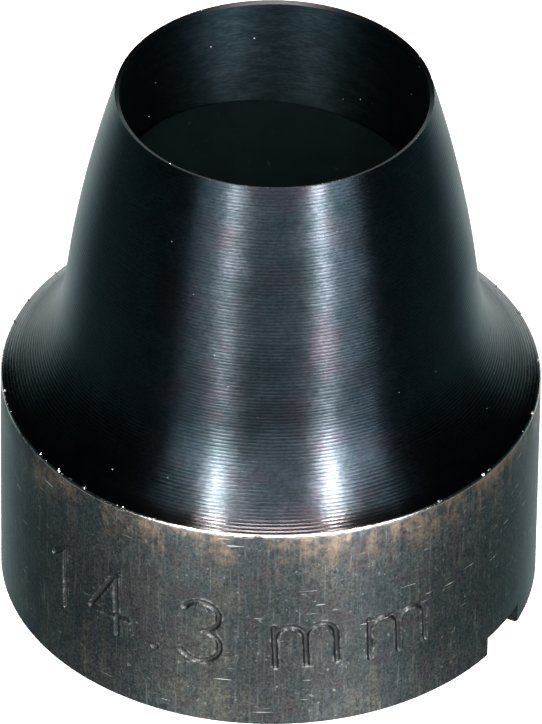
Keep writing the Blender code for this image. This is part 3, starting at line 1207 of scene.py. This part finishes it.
def makePad():
    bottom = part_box("ejector_pad")[0].z / mm
    top = bottom + pad["thickness"]
    wide = pad["radius"]
    edge, gap = pad["edgeRound"]
    points = [(0.0, bottom), (wide - edge, bottom), (wide, bottom + edge)]
    points += arcPoints((wide - edge, top - edge), edge, 0.0, quarterTurn, gap)
    points += runPoints((wide - edge, top), (0.0, top), pad["rowGap"])[1:]
    points.append((0.0, top))
    mesh = cappedLathe("slugPad", points, pad["columns"])
    heading = math.radians(pad["heading"])
    falls = Vector((math.cos(heading), math.sin(heading), 0.0))
    middle = (bottom + pad["thickness"] / 2) * mm
    for vertex in mesh.vertices:
        if vertex.co.z > middle:
            vertex.co.z -= vertex.co.dot(falls) * math.tan(math.radians(pad["tilt"]))
    return addObject("slugPad", mesh)


clip = {
    "inner": 7.204,
    "outer": 8.704,
    "opening": 4.0,
    "edge": (0.12, 0.07),  # radius, and the gap between its points
    "steps": 160,
}


def makeRing():
    low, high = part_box("retaining_ring")
    edge, gap = clip["edge"]
    bottom, top = low.z / mm + edge, high.z / mm - edge
    inner, outer = clip["inner"] + edge, clip["outer"] - edge
    section = []
    for i, corner in enumerate(((outer, bottom), (outer, top), (inner, top), (inner, bottom))):
        start = (i - 1) * quarterTurn
        section += arcPoints(corner, edge, start, start + quarterTurn, gap)
    half = clip["opening"] / (clip["inner"] + clip["outer"])
    count, steps = len(section), clip["steps"]
    spots = []
    for i in range(steps + 1):
        turn = half + (fullTurn - 2 * half) * i / steps
        spots += [(r * math.cos(turn) * mm, r * math.sin(turn) * mm, z * mm) for r, z in section]
    faces = [tuple(range(count)), tuple(reversed(range(len(spots) - count, len(spots))))]
    for i in range(steps):
        for j in range(count):
            k = (j + 1) % count
            faces.append((i * count + j, i * count + k, (i + 1) * count + k, (i + 1) * count + j))
    mesh = bpy.data.meshes.new("snapRing")
    mesh.from_pydata(spots, [], faces)
    return addObject("snapRing", recalculated(mesh))


spring = {
    "Coils": 4.25,
    "End Coils": 0.75,
    "End Pitch": 0.90 * mm,
    "Mean Radius": 7.404 * mm,
    "Wire Radius": 0.40 * mm,
}
springSteps = 260
wireSides = 16


def springTree(material):
    # a coil with close-wound ends, worked out turn by turn along one line of points
    board, given = newTree("coilSpring", (*spring, "Low", "High"), ("Steps",))
    line = board.node("GeometryNodeMeshLine", values={"Count": given["Steps"]})
    index = board.node("GeometryNodeInputIndex")
    turn = index / (given["Steps"] - 1.0) * given["Coils"]
    openCoils = given["Coils"] - given["End Coils"] * 2.0
    rise = given["High"] - given["Low"] - given["End Coils"] * given["End Pitch"] * 2.0
    first = board.maths("MINIMUM", turn, given["End Coils"])
    last = board.maths("MAXIMUM", turn - given["End Coils"] - openCoils, 0.0)
    middle = turn - first - last
    up = given["Low"] + (first + last) * given["End Pitch"] + middle * (rise / openCoils)
    moved = onCircle(board, line, turn * fullTurn, given["Mean Radius"], up)
    curve = board.node("GeometryNodeMeshToCurve", values={"Mesh": moved})
    sizes = {"Resolution": wireSides, "Radius": given["Wire Radius"]}
    circle = board.node("GeometryNodeCurvePrimitiveCircle", values=sizes)
    parts = {"Curve": curve, "Profile Curve": circle, "Fill Caps": True}
    return endTree(board, board.node("GeometryNodeCurveToMesh", values=parts), material)


def makeSpring(material):
    low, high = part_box("ejector_spring")
    piece = addObject("returnSpring", bpy.data.meshes.new("returnSpring"))
    wire = spring["Wire Radius"]
    sizes = {**spring, "Low": low.z + wire, "High": high.z - wire, "Steps": springSteps}
    runTree(piece, springTree(material), sizes)
    recalculated(piece.data)
    return piece


def blackRubberPaintedShade():
    shaderValues = {"Specular IOR Level": pad["gloss"], "Base Color": pad["colour"]}
    material, board, shader = newMaterial("blackRubberPaintedShade", shaderValues)
    spots = board.place()
    cloud = board.noise(spots, *pad["cloud"])
    grain = board.noise(spots, *pad["grain"])
    dust = board.step(board.noise(spots, *pad["specks"]), *pad["speckStep"])
    # painted shade: these near-black colours stand in for the shade the pad lies in
    colour = board.blend(board.step(cloud, 0.3, 0.7), pad["dark"], pad["light"])
    colour = board.blend(dust * 0.25, colour, pad["dust"])
    least, more = pad["roughness"]
    bump = board.bump(grain * pad["grainDepth"])
    plug(board, shader, Base_Color=colour, Roughness=least + more * grain, Normal=bump)
    return material


steels = {
    # dark and light colour, roughness, anisotropy
    "ejectorSteel": ((0.12, 0.125, 0.13, 1), (0.20, 0.205, 0.21, 1), 0.30, 0.6),
    "ringSteel": ((0.04, 0.042, 0.048, 1), (0.075, 0.075, 0.08, 1), 0.34, 0.6),
    "springSteel": ((0.24, 0.24, 0.25, 1), (0.34, 0.34, 0.35, 1), 0.26, 0.0),
}
steelGrain = {"cloud": (0.6, 4.0, 0.6), "grain": (12.0, 3.0, 0.6), "depth": 0.004, "roughnessSpread": 0.12}


def turnedSteel(name):
    dark, light, roughness, anisotropic = steels[name]
    shaderValues = {
        "Metallic": 1.0,
        "Anisotropic": anisotropic,
        "Anisotropic Rotation": roundTheAxis,
        "Base Color": light,
    }
    material, board, shader = newMaterial(name, shaderValues)
    spots = board.place()
    cloud = board.noise(spots, *steelGrain["cloud"])
    grain = board.noise(spots, *steelGrain["grain"])
    colour = board.blend(board.step(cloud, 0.3, 0.7), dark, light)
    bump = board.bump(grain * steelGrain["depth"])
    rough = roughness + steelGrain["roughnessSpread"] * cloud
    plug(board, shader, Base_Color=colour, Roughness=rough, Normal=bump)
    return material


finishPiece(makePlunger(), turnedSteel("ejectorSteel"), "ejector", "ejector_plunger")
finishPiece(makePad(), blackRubberPaintedShade(), "ejector", "ejector_pad")
finishPiece(makeRing(), turnedSteel("ringSteel"), "punch", "retaining_ring")
wireSteel = turnedSteel("springSteel")
returnSpring = makeSpring(wireSteel)
finishPiece(returnSpring, wireSteel, "punch", "ejector_spring")

# the share of its length the spring keeps when the ejector has travelled its whole way, and a mesh of its
# own for it
springLow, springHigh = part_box("ejector_spring")
slide = next(joint for joint in frame["joints"] if joint["name"] == "ejector_slide")
closed = 1 - slide["range_m"][1] / (springHigh.z - springLow.z)
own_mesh(returnSpring)
